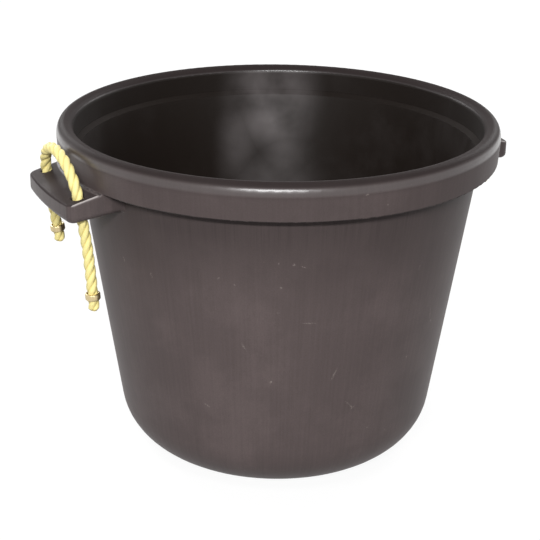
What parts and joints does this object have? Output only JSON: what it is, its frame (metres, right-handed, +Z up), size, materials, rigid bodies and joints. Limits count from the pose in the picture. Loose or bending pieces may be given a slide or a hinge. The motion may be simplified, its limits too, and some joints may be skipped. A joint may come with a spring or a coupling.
{
  "type": "mixing bucket",
  "caption": "Large round black plastic mixing bucket with a rolled rim, tapered wall, side lugs and yellow twisted rope handles held by crimped ferrules.",
  "frame": {"origin": "centre of the base, on the floor", "axes": "+Z up along the tub's axis, +X towards the right-hand rope lug, -X towards the left-hand rope lug that the picture shows, front at -Y"},
  "size_m": [0.582, 0.52, 0.408],
  "materials": {
    "tub_plastic": "moulded, worn satin",
    "rope": "twisted polypropylene",
    "ferrule": "dull plated"
  },
  "bodies": {
    "tub": {"tub": "tub_plastic"},
    "left_rope": {"left_front_tail": "rope", "left_rear_tail": "rope", "left_front_ferrule": "ferrule", "left_rear_ferrule": "ferrule"},
    "left_loop": {"left_rope_loop": "rope"},
    "right_rope": {"right_front_tail": "rope", "right_rear_tail": "rope", "right_front_ferrule": "ferrule", "right_rear_ferrule": "ferrule"},
    "right_loop": {"right_rope_loop": "rope"}
  },
  "joints": [
    {"name": "left_rope_lift", "type": "slide", "parent": "tub", "child": "left_rope", "axis": [-0.1392, 0, 0.9903], "range_m": [0, 0.043]},
    {"name": "left_loop_swing", "type": "hinge", "parent": "left_rope", "child": "left_loop", "pos_m": [-0.27097, 0, 0.36877], "axis": [0, -1, 0], "range_deg": [-12, 85]},
    {"name": "right_rope_lift", "type": "slide", "parent": "tub", "child": "right_rope", "axis": [0.1392, 0, 0.9903], "range_m": [0, 0.013]},
    {"name": "right_loop_swing", "type": "hinge", "parent": "right_rope", "child": "right_loop", "pos_m": [0.27097, 0, 0.36877], "axis": [0, 1, 0], "range_deg": [-16, 85]}
  ]
}
